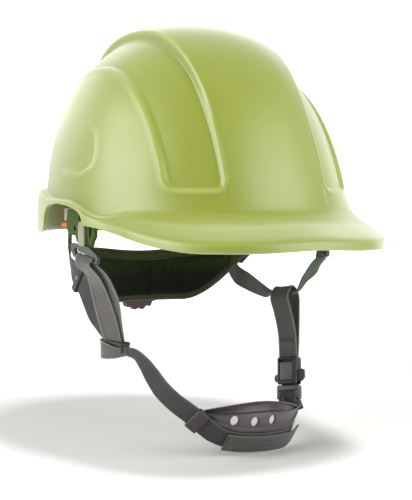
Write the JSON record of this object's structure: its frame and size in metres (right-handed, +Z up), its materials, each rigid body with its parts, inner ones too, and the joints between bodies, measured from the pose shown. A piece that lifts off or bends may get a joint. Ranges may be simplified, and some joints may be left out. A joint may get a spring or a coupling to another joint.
{
  "type": "arborist helmet",
  "caption": "Climbing helmet with a raised crest, a textile crown cradle, a ratchet nape band and a chin strap with a side-release buckle and a chin cup.",
  "frame": {"origin": "middle of the head opening, midway between the two sides of the headband and level with the lowest point of the peak", "axes": "+X to the wearer's left, -Y to the front where the peak is, +Z up"},
  "size_m": [0.2312, 0.2983, 0.317],
  "materials": {
    "shell_plastic": "glossy moulded ABS, yellow-green",
    "cradle_webbing": "light grey woven webbing",
    "strap_webbing": "dark grey-green woven webbing",
    "pad_fabric": "black knitted sweatband over foam",
    "black_plastic": "satin moulded nylon",
    "grey_plastic": "satin moulded nylon, grey",
    "orange_plastic": "satin moulded plastic, orange",
    "brown_plastic": "matte dark brown-grey moulded plastic"
  },
  "bodies": {
    "helmet": {"shell": "shell_plastic", "crown_clip_front_left": "grey_plastic", "crown_clip_front_right": "grey_plastic", "crown_clip_side_left": "grey_plastic", "crown_clip_side_right": "grey_plastic", "crown_clip_rear_left": "grey_plastic", "crown_clip_rear_right": "grey_plastic", "crown_strap_diagonal_left": "cradle_webbing", "crown_strap_across": "cradle_webbing", "crown_strap_diagonal_right": "cradle_webbing", "crown_pad": "pad_fabric", "headband_front": "black_plastic", "brow_pad": "pad_fabric", "front_hanger_left": "grey_plastic", "front_hanger_right": "grey_plastic", "rear_anchor_left": "grey_plastic", "rear_anchor_right": "grey_plastic", "accessory_socket_left": "orange_plastic", "accessory_socket_right": "orange_plastic", "front_strap_right": "strap_webbing", "rear_strap_right": "strap_webbing", "slider_right": "black_plastic", "v_strap_left": "strap_webbing", "drop_loop_left": "strap_webbing", "buckle_socket": "brown_plastic", "strap_keeper": "black_plastic"},
    "nape": {"nape_band": "black_plastic", "nape_pad": "pad_fabric", "ratchet_housing": "black_plastic", "ratchet_cover": "black_plastic"},
    "knob": {"ratchet_knob": "brown_plastic", "ratchet_pinion": "grey_plastic"},
    "left_rack": {"rack_left": "grey_plastic"},
    "right_rack": {"rack_right": "grey_plastic"},
    "chin": {"buckle_plug": "brown_plastic", "chin_cup": "brown_plastic", "cup_sleeve": "brown_plastic", "chin_strap": "strap_webbing", "chin_strap_flap": "strap_webbing"},
    "front_prong": {"prong_front": "brown_plastic"},
    "rear_prong": {"prong_rear": "brown_plastic"}
  },
  "joints": [
    {"name": "nape_slide", "type": "slide", "parent": "helmet", "child": "nape", "axis": [0, -1, 0], "range_m": [0, 0.0156]},
    {"name": "knob_turn", "type": "hinge", "parent": "nape", "child": "knob", "pos_m": [0, 0.1, -0.036], "axis": [0, -1, 0], "range_deg": [0, 149]},
    {"name": "left_rack_slide", "type": "slide", "parent": "nape", "child": "left_rack", "axis": [-1, 0, 0], "range_m": [0, 0.0156]},
    {"name": "right_rack_slide", "type": "slide", "parent": "nape", "child": "right_rack", "axis": [1, 0, 0], "range_m": [0, 0.0156]},
    {"name": "chin_swing", "type": "hinge", "parent": "helmet", "child": "chin", "pos_m": [-0.075, -0.009, -0.073], "axis": [-0.0281, 0.9731, -0.2287], "range_deg": [0, 80]},
    {"name": "front_prong_press", "type": "hinge", "parent": "chin", "child": "front_prong", "pos_m": [0.07173, -0.01754, -0.10946], "axis": [-0.8675, -0.4357, 0.2399], "range_deg": [0, 8], "stiffness_Nm_per_rad": 0.5},
    {"name": "rear_prong_press", "type": "hinge", "parent": "chin", "child": "rear_prong", "pos_m": [0.06737, -0.00953, -0.11069], "axis": [0.8675, 0.4357, -0.2399], "range_deg": [0, 8], "stiffness_Nm_per_rad": 0.5}
  ],
  "couplings": [
    {"joint": "knob_turn", "follows": "nape_slide", "rad_per_m": 166.67},
    {"joint": "left_rack_slide", "follows": "nape_slide", "ratio": 1},
    {"joint": "right_rack_slide", "follows": "nape_slide", "ratio": 1}
  ]
}
